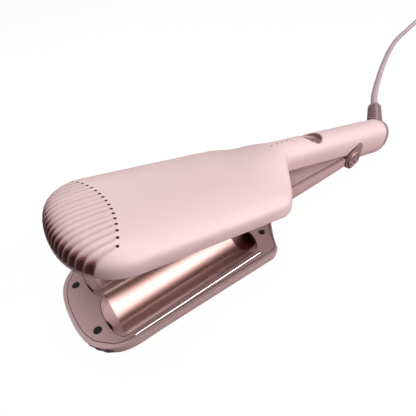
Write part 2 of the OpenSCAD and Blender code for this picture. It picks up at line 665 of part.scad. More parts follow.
// Tail: the cap holds a ball from which the strain relief leans out
ball_x = body_len + cap_len - 3.8;
relief_r = relief_d / 2;
module along_relief() { translate([ball_x, 0, pivot_z]) rotate([0, 90 - relief_pitch, relief_yaw]) children(); }
CAP_STEPS = [[0.1, 0], [2, 0.15], [4.5, 0.6], [6.8, 1.3], [8.2, 2.1], [8.8, 3]];
module end_cap() {
    color(TAUPE) upper_side() difference() {
        union() {
            loft([for (s = CAP_STEPS)
                [for (p = ring(UPPER, body_len, coarse_steps(UPPER), s[1], true)) [body_len + s[0] * cap_len / 8.8, p.y, p.z]]]);
            along_x(body_len - 5, body_len + 1) section_2d(wall + 0.15);
        }
        translate([ball_x, 0, pivot_z]) sphere(r = ball_r + run_gap);
        translate([body_len - 6, 0, pivot_z]) rotate([0, 90, 0]) cylinder(h = 8, r = 5.5);
        translate([ball_x + 2.6, 0, pivot_z]) rotate([0, 90, 0]) cylinder(h = 3, r1 = 6.6, r2 = 9);
        along_relief() cylinder(h = 30, r = 5.2);
    }
}
slot_count = 8;
slot_start = 13.4;
slot_pitch = (relief_len - slot_start - 4) / slot_count;
module strain_relief() {
    color(TAUPE) upper_side() along_relief() difference() {
        union() {
            sphere(r = ball_r);
            rotate_extrude() polygon([
                [0, 2], [4.7, 2], [4.7, 10.7], [relief_r - 0.6, 10.7], [relief_r, 11.2], [relief_r - 0.9, relief_len - 1.4],
                [relief_r - 1.6, relief_len - 0.5], [cord_d / 2 + 0.8, relief_len], [0, relief_len]
            ]);
        }
        for (i = [0:slot_count - 1]) translate([0, 0, slot_start + i * slot_pitch]) difference() {
            cylinder(h = slot_pitch / 2, r = 20);
            translate([0, 0, -1]) cylinder(h = slot_pitch, r = relief_r - 2.4);
            box([-20, -1.1, -1], [20, 1.1, slot_pitch]);
        }
    }
}

// Hinge: the ears and their pin belong to the lower arm and turn in the cheeks of the upper frame
module hinge_ear() {
    difference() {
        union() {
            along_y(ear_y, ear_y + ear_t) ear_2d(0);
            box([lower_end_x + 0.5, ear_y - 3.6, 0.8], [lower_end_x + 2.5, ear_y + 1.6, 5]);
            box([lower_end_x - 14, ear_y - 3.6, 0.8], [lower_end_x + 1, ear_y - 1, 5]);
        }
        translate([pivot_x, 0, pivot_z]) rotate([-90, 0, 0]) cylinder(h = ear_y + 2.2, r = pin_d / 2 + 0.02);
        children();
    }
}
module far_hinge_ear() { color(TAUPE) lower_side() hinge_ear(); }
module near_hinge_ear() {
    color(TAUPE) lower_side() {
        mirror([0, 1, 0]) hinge_ear() {
            translate([boss_x, ear_y - 1, boss_z0]) rotate([-90, 0, 0]) cylinder(h = 9, r = 2.5 + run_gap);
            translate([boss_x, ear_y - 1, boss_z0]) rotate([-90, 0, 0]) cylinder(h = 2.2, r = 3.7);
        }
        translate([boss_x - 4.4, -ear_y - ear_t, boss_z0 - 7]) rotate([90, 0, 0]) cylinder(h = 0.4, r = 0.6, $fn = 24);
    }
}
module lock_knob() {
    out = -ear_y - ear_t;
    color(TAUPE) lower_side() translate([boss_x, 0, boss_z0]) rotate([90, 0, 0]) difference() {
        rotate_extrude() polygon([
            [0, ear_y + 0.1], [3.6, ear_y + 0.1], [3.6, ear_y + 1.1], [2.5, ear_y + 1.1], [2.5, 0.1 - out],
            [knob_d / 2, 0.1 - out], [knob_d / 2, 1.1 - out], [knob_d / 2 - 0.4, 1.5 - out],
            [knob_d / 2 - 1.2, 1.5 - out], [knob_d / 2 - 1.5, 1.1 - out], [0, 1.1 - out]
        ]);
        rotate(20) box([-0.5, -4.5, 0.8 - out], [0.5, 4.5, 3 - out]);
    }
}
pin_end = ear_y + 2.1;
module hinge_pin() {
    color(STEEL) lower_side() translate([pivot_x, pin_end, pivot_z]) rotate([90, 0, 0]) cylinder(h = 2 * pin_end, r = pin_d / 2);
}

// The spring's legs press on both arms; its last leg turns with the upper one
function opened(p) = let (d = p - [pivot_x, 0, pivot_z])
    [pivot_x + d.x * cos(open_angle) + d.z * sin(open_angle), p.y, pivot_z - d.x * sin(open_angle) + d.z * cos(open_angle)];
coil_r = 4.2;
wire_r = 0.7;
coil_turn = 1620 - open_angle;
SPRING_PATH = concat(
    [[pivot_x - 26, -spring_y, 2.6], [pivot_x - 9, -spring_y, 5.6]],
    [for (i = [0:72]) let (a = 270 + coil_turn * i / 72)
        [pivot_x + coil_r * cos(a), -spring_y + 2 * spring_y * i / 72, pivot_z + coil_r * sin(a)]],
    [opened([pivot_x - 8, spring_y, pivot_z + coil_r + 1]), opened([pivot_x - 20, spring_y, pivot_z + coil_r + 6])]
);
module torsion_spring() { color(STEEL) lower_side() tube(SPRING_PATH, wire_r, 6, [0, 1, 0]); }

// Cord: out of the strain relief, down to the surface, then to a coil with the plug beside it
function relief_end() = let (d = [cos(relief_pitch) * cos(relief_yaw), cos(relief_pitch) * sin(relief_yaw), sin(relief_pitch)])
    opened([ball_x, 0, pivot_z] + relief_len * d) + [-rest_x, 0, lower_head_h];
function relief_heading() = unit(relief_end() - opened([ball_x, 0, pivot_z]) - [-rest_x, 0, lower_head_h]);
cord_r = cord_d / 2;
CORD_ROUTE = [
    [301.1, 53.7, 18.6], [315.9, 62.5, 15.6], [332.2, 72, 12.2], [348.6, 81.4, 9], [364.4, 90.3, 6.4],
    [378.7, 98.1, 4.6], [393.2, 106.1, 3.8], [409.6, 114.8, cord_r], [428.9, 124.9, cord_r], [452, 136.4, cord_r],
    [479.6, 149.7, cord_r], [509.8, 163.2, cord_r], [545, 177.5, cord_r], [580, 189, cord_r], [605, 196, 3.75],
    [625, 200.6, 5], [643, 203.6, 7.6], [658, 205.6, 9.8], [672, 207.4, 10.95]
];

// The coil has three turns on the surface and two on top. The cord climbs over its outer turn to the top ones.
coil_bend_r = 43;
coil_arrival = 95.7;
coil_centre = [695, 163, 0];
coil_entry = coil_centre + (coil_bend_r + cord_r) * [cos(coil_arrival), sin(coil_arrival), 0] + [0, 0, 1.37 * cord_d];
CORD_POINTS = concat(
    [relief_end(), relief_end() + 10 * relief_heading(), relief_end() + 20 * relief_heading() - [0, 0, 0.7]],
    CORD_ROUTE, [coil_entry]
);
module cord() { color(TAUPE) tube(CORD_POINTS, cord_r, 10, [0, 0, 1]); }
module cord_coil() {
    color(TAUPE) translate(coil_centre) rotate_extrude() polygon([
        [coil_bend_r - 1.5 * cord_d, 1.2], [coil_bend_r - 1.4 * cord_d, 0], [coil_bend_r + 1.4 * cord_d, 0],
        [coil_bend_r + 1.5 * cord_d, 1.2], [coil_bend_r + 1.5 * cord_d, cord_d - 1.2],
        [coil_bend_r + cord_d, 1.87 * cord_d], [coil_bend_r - cord_d, 1.87 * cord_d],
        [coil_bend_r - 1.5 * cord_d, cord_d - 1.2]
    ]);
}

// The plug lies flat beside the coil, on a line that leaves the outer turn a quarter turn further on
plug_half = 6.85;
plug_len = 46;
plug_tail = 18;
module plug_place() {
    translate(coil_centre) rotate(coil_arrival - 90) translate([coil_bend_r + cord_d, -plug_tail, plug_half + 0.05])
        rotate(-90) children();
}
module plug_body() {
    color(TAUPE) plug_place() difference() {
        union() {
            rotate([0, 90, 0]) cylinder(h = 16, r1 = cord_r + 1, r2 = plug_half - 0.45);
            translate([0, 0, -plug_half]) linear_extrude(2 * plug_half) polygon([
                [14, -5.5], [20, -9], [30, -17.6], [plug_len, -17.6], [plug_len, 17.6], [30, 17.6], [20, 9], [14, 5.5]
            ]);
        }
        for (y = [-plug_pin_gap / 2, plug_pin_gap / 2])
            translate([plug_len - 4, y, 0]) rotate([0, 90, 0]) cylinder(h = 5, r = plug_pin_d / 2 - 0.38);
    }
}
module plug_pins() {
    r = plug_pin_d / 2;
    color(STEEL) plug_place() for (y = [-plug_pin_gap / 2, plug_pin_gap / 2])
        translate([plug_len - 3.95, y, 0]) rotate([0, 90, 0]) rotate_extrude($fn = 32)
            polygon([[0, 0], [r - 0.4, 0], [r - 0.4, 4.3], [r, 4.3], [r, 22], [r - 0.9, 22.95], [0, 22.95]]);
}

upper_cover();
upper_frame();
upper_plate();
upper_heaters();
upper_heater_clamps();
upper_thermistor();
thermal_fuse();
upper_screws();
control_board();
tact_switch();
light_guide();
button_bezel();
power_button();
end_cap();
strain_relief();
lower_cover();
lower_frame();
lower_plate();
lower_edge_rails();
lower_heater();
lower_heater_clamp();
lower_thermistor();
lower_screws();
hinge_pin();
torsion_spring();
near_hinge_ear();
far_hinge_ear();
lock_knob();
cord();
cord_coil();
plug_body();
plug_pins();
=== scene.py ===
import math

import bmesh
import bpy
from mathutils import Matrix, Vector


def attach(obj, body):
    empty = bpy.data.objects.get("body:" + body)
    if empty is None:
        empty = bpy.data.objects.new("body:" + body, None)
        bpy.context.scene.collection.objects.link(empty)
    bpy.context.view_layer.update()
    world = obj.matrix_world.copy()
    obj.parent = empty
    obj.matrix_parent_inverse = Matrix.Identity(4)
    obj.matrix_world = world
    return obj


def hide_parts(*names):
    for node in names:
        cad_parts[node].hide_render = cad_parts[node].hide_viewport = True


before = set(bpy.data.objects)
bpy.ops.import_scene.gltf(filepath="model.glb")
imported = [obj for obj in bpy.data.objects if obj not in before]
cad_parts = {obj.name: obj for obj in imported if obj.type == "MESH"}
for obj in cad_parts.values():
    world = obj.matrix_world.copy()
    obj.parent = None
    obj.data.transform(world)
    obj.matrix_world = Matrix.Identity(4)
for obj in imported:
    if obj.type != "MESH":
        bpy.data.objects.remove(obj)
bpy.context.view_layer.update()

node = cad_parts
scene = bpy.context.scene
scene.view_settings.view_transform = "Standard"


# Camera. It stands over the tip of the jaws and looks down along the handle towards the cord, with a
# moderate wide-angle lens.
FOCAL_SHARE = 332.29 / 416
camera = bpy.data.objects.new("camera", bpy.data.cameras.new("camera"))
scene.collection.objects.link(camera)
scene.camera = camera
camera.data.lens = camera.data.sensor_width * FOCAL_SHARE
camera.data.clip_start = 0.01
right = Vector((0.811924, -0.572022, -0.116493))
down = Vector((-0.447889, -0.48243, -0.752766))
forward = Vector((0.374399, 0.663365, -0.647899))
camera.matrix_world = Matrix.Translation((-0.064514, -0.158066, 0.196871)) @ Matrix(
    (right, -down, -forward)).transposed().to_4x4()


# Mains cord. A round two-core lead in a soft pink-mauve sheath, extruded over its cores. It falls from
# the strain relief to the table, runs along it and climbs over its own coil, where it lies in a turn and
# a half on top and in two and three quarters below.
class Wire:
    """A value on its way through a finish. Arithmetic on it adds Math nodes."""

    def __init__(self, finish, socket):
        self.finish = finish
        self.socket = socket

    def math(self, operation, *values):
        return self.finish.add("Math", {"operation": operation}, dict(enumerate(values)))

    def __add__(self, other):
        return self.math("ADD", self, other)

    def __radd__(self, other):
        return self.math("ADD", other, self)

    def __sub__(self, other):
        return self.math("SUBTRACT", self, other)

    def __rsub__(self, other):
        return self.math("SUBTRACT", other, self)

    def __mul__(self, other):
        return self.math("MULTIPLY", self, other)

    def __rmul__(self, other):
        return self.math("MULTIPLY", other, self)

    def __pow__(self, other):
        return self.math("POWER", self, other)


class Finish:
    """A material: one Principled surface, and the nodes that vary it from place to place."""

    def __init__(self, name, color, roughness, metallic=0.0, **fixed):
        self.material = bpy.data.materials.new(name)
        self.material.use_nodes = True
        self.tree = self.material.node_tree
        self.surface = self.tree.nodes["Principled BSDF"]
        self.set("Base Color", (*color, 1))
        self.set("Roughness", roughness)
        self.set("Metallic", metallic)
        for socket, value in fixed.items():
            self.set(socket.replace("_", " "), value)

    def add(self, kind, settings=None, inputs=None, output=0):
        made = self.tree.nodes.new("ShaderNode" + kind)
        for key, value in (settings or {}).items():
            setattr(made, key, value)
        for key, value in (inputs or {}).items():
            self.feed(made.inputs[key], value)
        return Wire(self, made.outputs[output])

    def feed(self, socket, value):
        if isinstance(value, Wire):
            self.tree.links.new(value.socket, socket)
        else:
            socket.default_value = value

    def set(self, socket, value):
        self.feed(self.surface.inputs[socket], value)

    def place(self, scale=(1, 1, 1)):
        start = self.add("TexCoord", output="Object")
        return self.add("Mapping", {}, {"Vector": start, "Scale": scale})

    def noise(self, scale, detail=2.0, place=None):
        return self.add("TexNoise", {}, {"Vector": place or self.place(), "Scale": scale, "Detail": detail})

    def blend(self, factor, first, second):
        """Mixes two colours, each a tuple of three or the outcome of another blend."""
        pair = [one if isinstance(one, Wire) else (*one, 1) for one in (first, second)]
        return self.add("Mix", {"data_type": "RGBA"}, {0: factor, 6: pair[0], 7: pair[1]}, output=2)

    def step(self, value, low, high, first=0.0, last=1.0):
        """Runs smoothly from first to last while value goes from low to high."""
        return self.add("MapRange", {"interpolation_type": "SMOOTHSTEP"}, {
            "Value": value, "From Min": low, "From Max": high, "To Min": first, "To Max": last})

    def bump(self, height, distance):
        self.set("Normal", self.add("Bump", {}, {"Height": height, "Distance": distance}))

    def put(self, *objects):
        for thing in objects:
            thing.data.materials.clear()
            thing.data.materials.append(self.material)


CORD_D = 0.0073
# Millimetres, from the strain relief's mouth to the coil
OPEN_ROUTE = [
    (272.83, 34.50, 20.57), (281.01, 40.25, 20.79), (289.19, 46.00, 20.30), (301.1, 53.7, 18.6),
    (315.9, 62.5, 15.6), (332.2, 72.0, 12.2), (348.6, 81.4, 9.0), (364.4, 90.3, 6.4), (378.7, 98.1, 4.6),
    (393.2, 106.1, 3.8), (409.6, 114.8, 3.65), (428.9, 124.9, 3.65), (452.0, 136.4, 3.65),
    (479.6, 149.7, 3.65), (509.8, 163.2, 3.65), (545.0, 177.5, 3.65), (580.0, 189.0, 3.65),
    (605.0, 196.0, 3.75), (625.0, 200.6, 5.0), (643.0, 203.6, 7.6), (658.0, 205.6, 9.8),
    (672.0, 207.4, 10.95),
]
COIL_CENTRE = Vector((0.695, 0.163))
COIL_START = math.radians(95.7)
TURN_R = 0.043
CORD_R = CORD_D / 2
COIL_SWEEP = 1530
# Sweep in degrees, radius and layer (0 on the table, 1 on top) where each turn begins and ends
TURNS = [
    (0, TURN_R + CORD_R, 1), (210, TURN_R + CORD_R, 1), (270, TURN_R - CORD_R, 1), (510, TURN_R - CORD_R, 1),
    (570, TURN_R - CORD_D, 0), (810, TURN_R - CORD_D, 0), (870, TURN_R, 0), (1170, TURN_R, 0),
    (1230, TURN_R + CORD_D, 0), (COIL_SWEEP, TURN_R + CORD_D, 0),
]


def turn_at(sweep):
    """Radius and layer of the coil at a sweep."""
    for (a, r0, l0), (b, r1, l1) in zip(TURNS, TURNS[1:]):
        if a <= sweep <= b:
            s = (sweep - a) / (b - a)
            s = s * s * (3 - 2 * s)
            return r0 + (r1 - r0) * s, l0 + (l1 - l0) * s


def coil_point(sweep):
    """A place on the coil. A turn on top lies in the dip between the turns below it."""
    r, layer = turn_at(sweep)
    z = CORD_R
    if layer == 1:
        later = [turn_at(s) for s in range(int(sweep) % 360 + 360, COIL_SWEEP + 1, 360)]
        below = [radius for radius, its_layer in later if its_layer == 0]
        gap = min(abs(r - other) for other in below)
        z += math.sqrt(max(0, CORD_D ** 2 - gap ** 2))
    elif layer > 0:
        rise = min(1, max(-1, (TURN_R - r) / CORD_D))
        z += CORD_D * math.sqrt(1 - rise * rise)
    angle = COIL_START - math.radians(sweep)
    return (COIL_CENTRE.x + r * math.cos(angle), COIL_CENTRE.y + r * math.sin(angle), z)


leaving = COIL_START - math.radians(COIL_SWEEP)
outer = COIL_CENTRE + (TURN_R + CORD_D) * Vector((math.cos(leaving), math.sin(leaving)))
away = Vector((math.sin(leaving), -math.cos(leaving)))
# The lead's end past the coil, up to the plug: how far along and how high
TAIL = ((0.008, 0.0041), (0.018, 0.0056), (0.026, 0.0067), (0.034, 0.0069))
tail = [(*(outer + s * away), z) for s, z in TAIL]
control = [tuple(v / 1000 for v in p) for p in OPEN_ROUTE]
control += [coil_point(s) for s in range(0, COIL_SWEEP + 1, 15)] + tail


def smooth_line(points, steps):
    """Points along a smooth curve through the given ones."""
    ends = [tuple(2 * a - b for a, b in zip(points[0], points[1]))] + points
    ends += [tuple(2 * a - b for a, b in zip(points[-1], points[-2]))]
    line = []
    for p, q, r, s in zip(ends, ends[1:], ends[2:], ends[3:]):
        p, q, r, s = Vector(p), Vector(q), Vector(r), Vector(s)
        for i in range(steps):
            t = i / steps
            line.append(0.5 * (2 * q + (r - p) * t + (2 * p - 5 * q + 4 * r - s) * t ** 2
                               + (3 * q - p - 3 * r + s) * t ** 3))
    return line + [Vector(points[-1])]


line = smooth_line(control, 4)
curve = bpy.data.curves.new("mains_cord", "CURVE")
curve.dimensions = "3D"
curve.bevel_depth = CORD_R
curve.bevel_resolution = 5
curve.use_fill_caps = True
spline = curve.splines.new("POLY")
spline.points.add(len(line) - 1)
for point, place in zip(spline.points, line):
    point.co = (*place, 1)
spline.use_smooth = True
mains_cord = bpy.data.objects.new("mains_cord", curve)
scene.collection.objects.link(mains_cord)
sheath = Finish("cord_sheath", (0.58, 0.445, 0.485), 0.42, Specular_IOR_Level=0.4)
sheath.set("Base Color", sheath.blend(sheath.noise(60, 3), (0.56, 0.43, 0.465), (0.62, 0.48, 0.515)))
sheath.bump(sheath.noise(1400, 2), 0.00003)
sheath.put(mains_cord)
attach(mains_cord, "upper_arm")
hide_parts("cord", "cord_coil")
cord_length = sum((b - a).length for a, b in zip(line, line[1:]))


# Covers. Two injection-moulded shells with a soft matte lacquer, split along the jaws. Their noses are
# ribbed by cooling grooves that run down over the tip, and screws from inside hold the frames in them.
UPPER, LOWER = 0, 1
OPEN = math.radians(13.2)
# Sizes in millimetres. The hinge's place in the room, and on an arm's own axes
PIVOT = Vector((178, 0, 30))
PIVOT_ON_ARM = Vector((258, 0, 12))
LOWER_TIP = Vector((-80, 0, 18))
SEAM = 0.5
HEAD_W, HANDLE_W = 93, 27
HEAD_LEN, SHOULDER_LEN, NECK_END = 134, 31.5, 170
UPPER_H, LOWER_H, HANDLE_RISE = 17, 18, 11
LOWER_HEAD_LEN, LOWER_SHOULDER_LEN, LOWER_REACH = 131, 34, 8
LOWER_NOSE_HALF, LOWER_FLARE, LOWER_HANDLE_HALF = 41, 5, 12.9
SHOULDER_ROUNDS = 14
NOSE = 35
NOSE_POWER = {UPPER: 2.33, LOWER: 2.7}
GROOVE_PITCH = 4.5
GROOVES_HALF = 8.5 * GROOVE_PITCH


def ease(a, b, x):
    s = min(1, max(0, (x - a) / (b - a)))
    return s * s * (3 - 2 * s)


def to_arm(p, arm):
    """A place in metres as millimetres along, across and outward from the jaw plane of one arm."""
    if arm == LOWER:
        return Vector((p.x * 1000 - LOWER_TIP.x, p.y * 1000, LOWER_TIP.z - p.z * 1000))
    return Matrix.Rotation(-OPEN, 3, "Y") @ (p * 1000 - PIVOT) + PIVOT_ON_ARM


def from_arm(q, arm):
    if arm == LOWER:
        return Vector((q.x + LOWER_TIP.x, q.y, LOWER_TIP.z - q.z)) / 1000
    return (Matrix.Rotation(OPEN, 3, "Y") @ (q - PIVOT_ON_ARM) + PIVOT) / 1000


def half_width(arm, x):
    if arm == UPPER:
        s = min(1, max(0, (x - HEAD_LEN) / SHOULDER_LEN))
        return (HANDLE_W + (HEAD_W - HANDLE_W) * (1 - s * s) ** 1.35) / 2
    corner = max(0, min(1, (x - LOWER_HEAD_LEN + 6) / 6)) ** 2
    side = LOWER_NOSE_HALF + LOWER_FLARE * min(1, x / LOWER_HEAD_LEN) - 2.5 * corner
    s = min(1, max(0, (x - LOWER_HEAD_LEN) / LOWER_SHOULDER_LEN))
    return LOWER_HANDLE_HALF + (side - LOWER_HANDLE_HALF) * (1 - s) ** 2.2


def section(arm, x):
    """Base height, crown height and the height of the swelling towards the handle at x."""
    blend = ease(138, NECK_END, x)
    if arm == UPPER:
        rise = HANDLE_RISE * ease(116, NECK_END, x)
        late = ease(140, NECK_END, x)
        return SEAM + 11.5 * blend, UPPER_H + rise * late, rise * (1 - late)
    handle_h = 9 - 2 * max(0, (x - NECK_END) / 72.3)
    return SEAM - 5.5 * blend, LOWER_H + (handle_h - LOWER_H) * ease(128, NECK_END, x), 0


def groove_end(y):
    return min(NOSE - 1, 33.2 - y * y / 150)


def on_nose(q, arm):
    """on_surface for the ribbed nose, a superellipse in plan and in height."""
    back = LOWER_REACH if arm == LOWER else 0
    w, h, p = half_width(arm, NOSE), (UPPER_H if arm == UPPER else LOWER_H) - SEAM, NOSE_POWER[arm]
    a, t, up = (NOSE - (q.x + back)) / NOSE, q.y / w, max(0, q.z - SEAM) / h
    s = max(1e-9, (a ** p + abs(t) ** p) ** (3 / p) + up ** 3) ** (-1 / 3)
    a, t, up = a * s, t * s, up * s
    x, y = NOSE - a * NOSE, t * w
    r = (a ** p + abs(t) ** p) ** (1 / p)
    nx, nz = -(max(r, 1e-4) ** (3 - p)) * max(a, 1e-6) ** (p - 1) / NOSE, up * up / h
    n = max(1e-9, math.hypot(nx, nz))
    dent = painted_shade = 0
    if abs(y) < GROOVES_HALF:
        # Each groove is a sharp valley between two rounded ribs, deeper and wider at the tip. It starts at
        # its dimple and runs out above the seam
        from_middle = abs((y / GROOVE_PITCH + 0.5) % 1 - 0.5) * 2
        start = max(0, min(1, (groove_end(y) - x) / 1.6)) ** 0.6
        low = max(0, min(1, (up * h - 0.9) / 1.4))
        tip = 1 - ease(2, 26, x)
        dent = (0.6 + 0.8 * tip) * start * low * (1 - math.sqrt(1 - (1 - from_middle) ** (2.4 - 1.4 * tip)))
        # Its painted shade is darkest deep inside, where the skin is steep, and on the near side
        steep = (1 - ease(0.38, 0.96, nz / n)) * (1 - 0.5 * ease(-8, 34, y))
        inside = (0.26 + 0.66 * steep) * (1 - from_middle ** (0.6 + 1.5 * steep))
        painted_shade = start * low * (inside + 0.24 * steep)
    z = SEAM + up * h - dent * nz / n if q.z > SEAM else q.z
    return Vector((x - dent * nx / n - back, y, z)), painted_shade


def on_surface(q, arm):
    """The place of the outer skin on a ray from the cover's spine through q, and the painted shade of its
    groove.
    """
    if q.x + (LOWER_REACH if arm == LOWER else 0) < NOSE:
        return on_nose(q, arm)
    base, top, swell = section(arm, q.x)
    w = half_width(arm, max(q.x, NOSE))
    p = 3 - 0.7 * ease(HEAD_LEN, NECK_END, q.x)
    hump = swell * max(0, 1 - (q.y / 34) ** 2) ** 2
    over = q.z - hump * min(1, max(0, q.z - base)) > base
    up = (q.z - hump - base) / (top - base) if over else (q.z - base) / (4 + base)
    s = max(1e-9, abs(q.y / w) ** p + abs(up) ** p) ** (-1 / p)
    up *= s
    return Vector((q.x, q.y * s, base + hump + up * (top - base) if over else base + up * (4 + base))), 0


def moulded(name, source, body, angle, arm=None):
    """A welded copy of a CAD node with smooth shading, which stands for it. A cover's skin is made finer."""
    old = node[source].data
    mesh = bpy.data.meshes.new(name)
    mesh.from_pydata([v.co[:] for v in old.vertices], [], [p.vertices[:] for p in old.polygons])
    work = bmesh.new()
    work.from_mesh(mesh)
    bmesh.ops.remove_doubles(work, verts=work.verts, dist=2e-6)
    bmesh.ops.dissolve_degenerate(work, edges=work.edges, dist=1e-6)
    bmesh.ops.recalc_face_normals(work, faces=work.faces)
    if arm is not None:
        refine(work, arm)
    work.to_mesh(mesh)
    work.free()
    mesh.shade_smooth()
    mesh.set_sharp_from_angle(angle=math.radians(angle))
    made = bpy.data.objects.new(name, mesh)
    scene.collection.objects.link(made)
    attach(made, body)
    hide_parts(source)
    return made


def refine(work, arm):
    """Splits the faces of a cover's outer skin and lays them on its smooth surface."""
    def in_grooves(q):
        return q.x < NOSE and abs(q.y) < GROOVES_HALF

    # A vertex belongs to the skin if it lies nearer to it than the wall's thickness, or than a facet's sag
    skin = {}
    for v in work.verts:
        q = to_arm(v.co, arm)
        away = (on_surface(q, arm)[0] - q).length
        under = q.z < (0.4 if q.x < 242 else -9)
        skin[v] = not under and away < (2.05 if in_grooves(q) else 0.45)
    edges = set()
    for f in work.faces:
        q = to_arm(f.calc_center_median(), arm)
        n = to_arm(f.calc_center_median() + f.normal / 1000, arm) - q
        out = n.x * min(0, q.x - 18) + (0 if in_grooves(q) else n.y * q.y) + n.z * (q.z - 1)
        if out > 0 and all(skin[v] for v in f.verts):
            f.material_index = 1
            edges.update(f.edges)
    bmesh.ops.subdivide_edges(work, edges=list(edges), cuts=3, use_grid_fill=True)
    # The groove layer holds the painted shade of the grooves and of the steep skin
    depth = work.verts.layers.float.new("groove")
    for v in {v for f in work.faces if f.material_index == 1 for v in f.verts}:
        place, painted_shade = on_surface(to_arm(v.co, arm), arm)
        v.co = from_arm(place, arm)
        v[depth] = painted_shade
    # The shoulder runs into the neck in one soft blend, so its facets are smoothed out
    shoulder = [v for v in work.verts if arm == UPPER and 124 < to_arm(v.co, arm).x < 178
                and all(f.material_index == 1 for f in v.link_faces)]
    for _ in range(SHOULDER_ROUNDS):
        bmesh.ops.smooth_vert(work, verts=shoulder, factor=0.5,
                              use_axis_x=True, use_axis_y=True, use_axis_z=True)
    for f in work.faces:
        f.material_index = 0
    bmesh.ops.triangulate(work, faces=[f for f in work.faces if len(f.verts) > 4])


# Painted shade in the grooves: rose first, then dark brown
GROOVE_SHADE_ROSE = (0.36, 0.16, 0.165)
GROOVE_SHADE_BROWN = (0.045, 0.008, 0.01)


def lacquer(name, color, worn):
    """Matte lacquer with painted shade after the skin's groove attribute, turning rose and then dark brown.
    """
    finish = Finish(name, color, 0.45, Specular_IOR_Level=0.45, Coat_Roughness=0.35, Coat_Weight=0.06)
    groove = finish.add("Attribute", {"attribute_name": "groove"}, output="Fac")
    tint = finish.blend(finish.noise(22, 3), color, worn)
    half_shaded = finish.blend(groove * 2.2, tint, GROOVE_SHADE_ROSE)
    finish.set("Base Color", finish.blend((groove - 0.3) * 1.5, half_shaded, GROOVE_SHADE_BROWN))
    finish.set("Roughness", 0.42 + 0.08 * finish.noise(900, 2))
    finish.bump(finish.noise(2600, 2), 0.000012)
    return finish


upper_shell = moulded("upper_shell", "upper_cover", "upper_arm", 38, UPPER)
lower_shell = moulded("lower_shell", "lower_cover", "lower_arm", 38, LOWER)
lacquer("shell", (0.80, 0.60, 0.595), (0.775, 0.575, 0.57)).put(upper_shell)
# The lower shell is the same lacquer in a darker copy, as painted shade
lacquer("lower_shell", (0.68, 0.475, 0.48), (0.65, 0.45, 0.455)).put(lower_shell)


# Groove starts. Each groove of the upper nose begins at a small round dimple, moulded in with it. The
# dimples stand in an arc across the nose. Dark flat discs that lie flush in the skin stand for their shade,
# as painted shade.
class Tree:
    """A Geometry Nodes tree, its inputs named and set on a modifier, then turned into one mesh."""

    def __init__(self, name):
        self.group = bpy.data.node_groups.new(name, "GeometryNodeTree")
        self.group.interface.new_socket("Geometry", in_out="OUTPUT", socket_type="NodeSocketGeometry")
        self.start = self.group.nodes.new("NodeGroupInput")
        self.end = self.group.nodes.new("NodeGroupOutput")
        self.given = {}

    def ask(self, name, kind, value):
        made = self.group.interface.new_socket(name, in_out="INPUT", socket_type="NodeSocket" + kind)
        self.given[made.identifier] = value
        return self.start.outputs[name]

    def add(self, kind, settings=None, inputs=None, output=0):
        made = self.group.nodes.new(kind)
        for key, value in (settings or {}).items():
            setattr(made, key, value)
        for key, value in (inputs or {}).items():
            if isinstance(value, bpy.types.NodeSocket):
                self.group.links.new(value, made.inputs[key])
            else:
                made.inputs[key].default_value = value
        return made.outputs[output]

    def math(self, operation, *values):
        return self.add("ShaderNodeMath", {"operation": operation}, dict(enumerate(values)))

    def vector(self, operation, first, second, output="Vector"):
        return self.add("ShaderNodeVectorMath", {"operation": operation}, {0: first, 1: second}, output)

    def build(self, name, geometry, material, body, slot):
        real = self.add("GeometryNodeRealizeInstances", {}, {"Geometry": geometry})
        done = self.add("GeometryNodeSetMaterial", {}, {"Geometry": real, "Material": material})
        self.group.links.new(done, self.end.inputs[0])
        rig = bpy.data.objects.new(name + "_rig", bpy.data.meshes.new(name + "_rig"))
        scene.collection.objects.link(rig)
        modifier = rig.modifiers.new("build", "NODES")
        modifier.node_group = self.group
        for identifier, value in self.given.items():
            modifier[identifier] = value
        rig.update_tag()
        depsgraph = bpy.context.evaluated_depsgraph_get()
        mesh = bpy.data.meshes.new_from_object(rig.evaluated_get(depsgraph))
        bpy.data.objects.remove(rig)
        made = bpy.data.objects.new(name, mesh)
        scene.collection.objects.link(made)
        mesh.shade_smooth()
        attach(made, body)
        return made


dimple = Finish("groove_start", (0.09, 0.02, 0.024), 0.5, Specular_IOR_Level=0.1)
dimple.set("Roughness", 0.45 + 0.2 * dimple.noise(900))
tree = Tree("groove_starts")
count = tree.ask("Count", "Int", 17)
pitch = tree.ask("Pitch", "Float", GROOVE_PITCH / 1000)
reach = tree.ask("Arc middle", "Float", 0.0336)
bend = tree.ask("Arc bend", "Float", 6.4)
skin = tree.ask("Skin", "Object", upper_shell)
size = tree.ask("Radius", "Float", 0.00095)
points = tree.add("GeometryNodePoints", {}, {"Count": count})
index = tree.add("GeometryNodeInputIndex")
middle_one = tree.math("MULTIPLY", tree.math("SUBTRACT", count, 1), 0.5)
across = tree.math("MULTIPLY", tree.math("SUBTRACT", index, middle_one), pitch)
along = tree.math("SUBTRACT", reach, tree.math("MULTIPLY", tree.math("MULTIPLY", across, across), bend))
